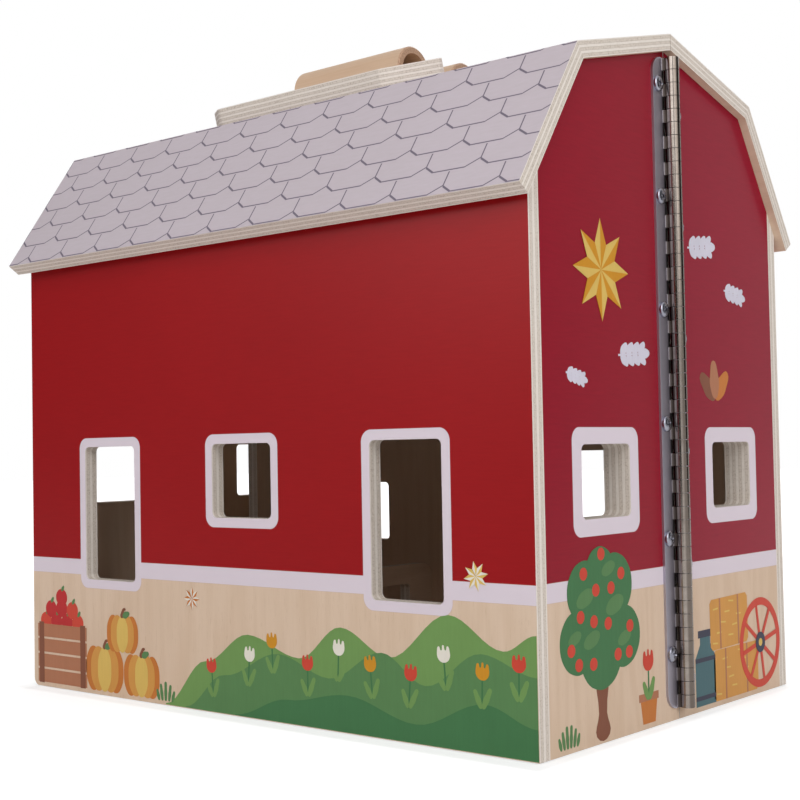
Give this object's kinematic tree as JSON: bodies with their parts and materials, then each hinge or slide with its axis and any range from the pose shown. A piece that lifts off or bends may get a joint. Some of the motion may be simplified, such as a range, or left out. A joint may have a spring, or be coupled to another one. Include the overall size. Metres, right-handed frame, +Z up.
{
  "type": "toy barn",
  "caption": "Wooden toy barn in two halves that open like a book about a piano hinge, with windows, stable doors, a hook latch and a carrying handle.",
  "frame": {"origin": "on the table, at the middle of the closed barn under the ridge; the seam between the halves is the plane Y = 0", "axes": "+Z up; +X along the ridge towards the gable with the piano hinge; -Y is the long wall with three openings, +Y the long wall with the stable doors"},
  "size_m": [0.3728, 0.2668, 0.3572],
  "materials": {
    "painted_plywood": "satin",
    "roof_plywood": "matte",
    "bare_plywood": "matte",
    "handle_plywood": "matte",
    "bentwood": "satin",
    "door_plywood": "satin",
    "knob_wood": "satin",
    "hinge_steel": "satin",
    "pin_steel": "polished",
    "hook_steel": "satin"
  },
  "bodies": {
    "near": {"near_long_wall": "painted_plywood", "near_hinge_gable": "painted_plywood", "near_latch_gable": "painted_plywood", "near_floor": "bare_plywood", "near_lower_roof": "roof_plywood", "near_upper_roof": "roof_plywood", "near_handle_base": "handle_plywood", "near_handle_grip": "bentwood", "near_hinge_leaf": "hinge_steel", "hinge_pin": "pin_steel", "latch_pivot": "pin_steel"},
    "far": {"far_long_wall": "painted_plywood", "far_hinge_gable": "painted_plywood", "far_latch_gable": "painted_plywood", "far_floor": "bare_plywood", "far_lower_roof": "roof_plywood", "far_upper_roof": "roof_plywood", "far_handle_base": "handle_plywood", "far_handle_grip": "bentwood", "far_hinge_leaf": "hinge_steel", "stall_divider": "bare_plywood", "stall_rail": "bare_plywood", "hay_loft": "bare_plywood", "door_hinge_plates": "hinge_steel", "door_hinge_pins": "pin_steel", "latch_stud": "pin_steel"},
    "left_door": {"left_door_leaf": "door_plywood", "left_door_strap": "hinge_steel", "left_door_knob": "knob_wood"},
    "right_door": {"right_door_leaf": "door_plywood", "right_door_strap": "hinge_steel", "right_door_knob": "knob_wood"},
    "hook": {"latch_hook": "hook_steel"}
  },
  "joints": [
    {"name": "fold", "type": "hinge", "parent": "near", "child": "far", "pos_m": [0.1848, 0, 0], "axis": [0, 0, -1], "range_deg": [0, 180]},
    {"name": "left_door_swing", "type": "hinge", "parent": "far", "child": "left_door", "pos_m": [0.0183, 0.1234, 0], "axis": [0, 0, 1], "range_deg": [0, 120]},
    {"name": "right_door_swing", "type": "hinge", "parent": "far", "child": "right_door", "pos_m": [0.1037, 0.1234, 0], "axis": [0, 0, -1], "range_deg": [0, 120]},
    {"name": "hook_swing", "type": "hinge", "parent": "near", "child": "hook", "pos_m": [-0.1803, -0.018, 0.196], "axis": [-1, 0, 0], "range_deg": [-60, 270]}
  ]
}
